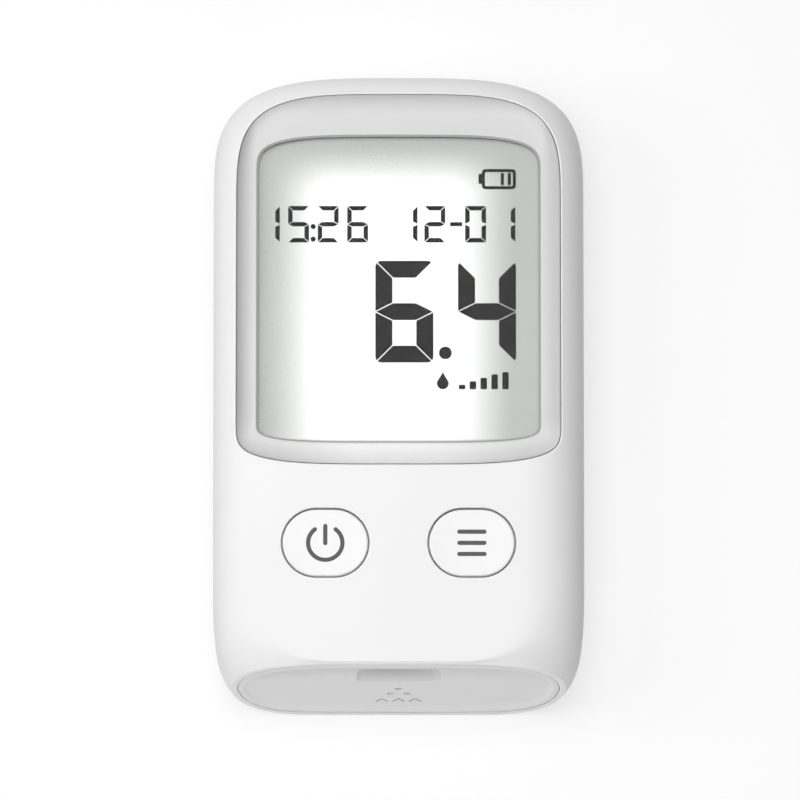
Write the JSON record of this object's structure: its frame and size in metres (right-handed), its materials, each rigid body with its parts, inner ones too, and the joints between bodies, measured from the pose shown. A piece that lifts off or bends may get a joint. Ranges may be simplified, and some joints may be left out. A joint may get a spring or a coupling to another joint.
{
  "type": "blood glucose meter",
  "caption": "Slim hand-held blood glucose meter with a dished display frame, push buttons, a slanted strip port and a slide-off battery door.",
  "frame": {"origin": "middle of the flat back, at the bottom of the part lying on its back", "axes": "+Z out of the display, +Y towards the display end, -Y towards the strip port, +X to the right seen from the front"},
  "size_m": [0.058, 0.099, 0.021],
  "materials": {
    "case_white": "fine satin texture, white",
    "frame_white": "smooth white moulding",
    "cap_grey": "satin pale grey",
    "button_white": "satin white",
    "lens_clear": "clear acrylic",
    "adhesive_grey": "double-sided adhesive ring",
    "gasket_black": "foam",
    "polariser_film": "polarising film",
    "lcd_glass": "thin display glass",
    "guide_white": "milky light guide",
    "led_yellow": "side LEDs",
    "holder_white": "moulded holder",
    "zebra_grey": "layered elastomer",
    "board_green": "solder mask",
    "chip_black": "moulded chip body",
    "can_steel": "plain metal can",
    "ceramic_tan": "ceramic",
    "buzzer_black": "moulded buzzer case",
    "socket_cream": "heat-proof moulding",
    "contact_gold": "gold-plated leaf",
    "switch_steel": "stamped frame",
    "plunger_black": "moulded plunger",
    "cell_blue": "printed sleeve, bare of words",
    "nickel": "nickel-plated strip and wire",
    "screw_steel": "zinc-plated"
  },
  "bodies": {
    "case": {"front_shell": "case_white", "rear_shell": "case_white", "port_cap": "cap_grey", "display_frame": "frame_white", "display_lens": "lens_clear", "lens_adhesive": "adhesive_grey", "dust_gasket": "gasket_black", "lcd_front_polariser": "polariser_film", "lcd_front_glass": "lcd_glass", "lcd_rear_glass": "lcd_glass", "lcd_rear_polariser": "polariser_film", "backlight_guide": "guide_white", "backlight_leds": "led_yellow", "lcd_holder": "holder_white", "zebra_connector": "zebra_grey", "main_board": "board_green", "controller_chip": "chip_black", "amplifier_chip": "chip_black", "crystal": "can_steel", "board_capacitors": "ceramic_tan", "thermistor": "chip_black", "buzzer": "buzzer_black", "strip_socket": "socket_cream", "strip_contacts": "contact_gold", "power_switch": "switch_steel", "set_switch": "switch_steel", "left_cell": "cell_blue", "right_cell": "cell_blue", "positive_terminal": "nickel", "negative_terminal": "nickel", "cell_link": "nickel", "contact_springs": "nickel", "case_screws": "screw_steel", "board_screws": "screw_steel"},
    "power_key": {"power_button": "button_white", "power_plunger": "plunger_black"},
    "set_key": {"set_button": "button_white", "set_plunger": "plunger_black"},
    "door": {"battery_door": "case_white"}
  },
  "joints": [
    {"name": "power_press", "type": "slide", "parent": "case", "child": "power_key", "axis": [0, 0, -1], "range_m": [0, 0.0006], "stiffness_N_per_m": 1500},
    {"name": "set_press", "type": "slide", "parent": "case", "child": "set_key", "axis": [0, 0, -1], "range_m": [0, 0.0006], "stiffness_N_per_m": 1500},
    {"name": "door_slide", "type": "slide", "parent": "case", "child": "door", "axis": [0, 1, 0], "range_m": [0, 0.058]}
  ]
}
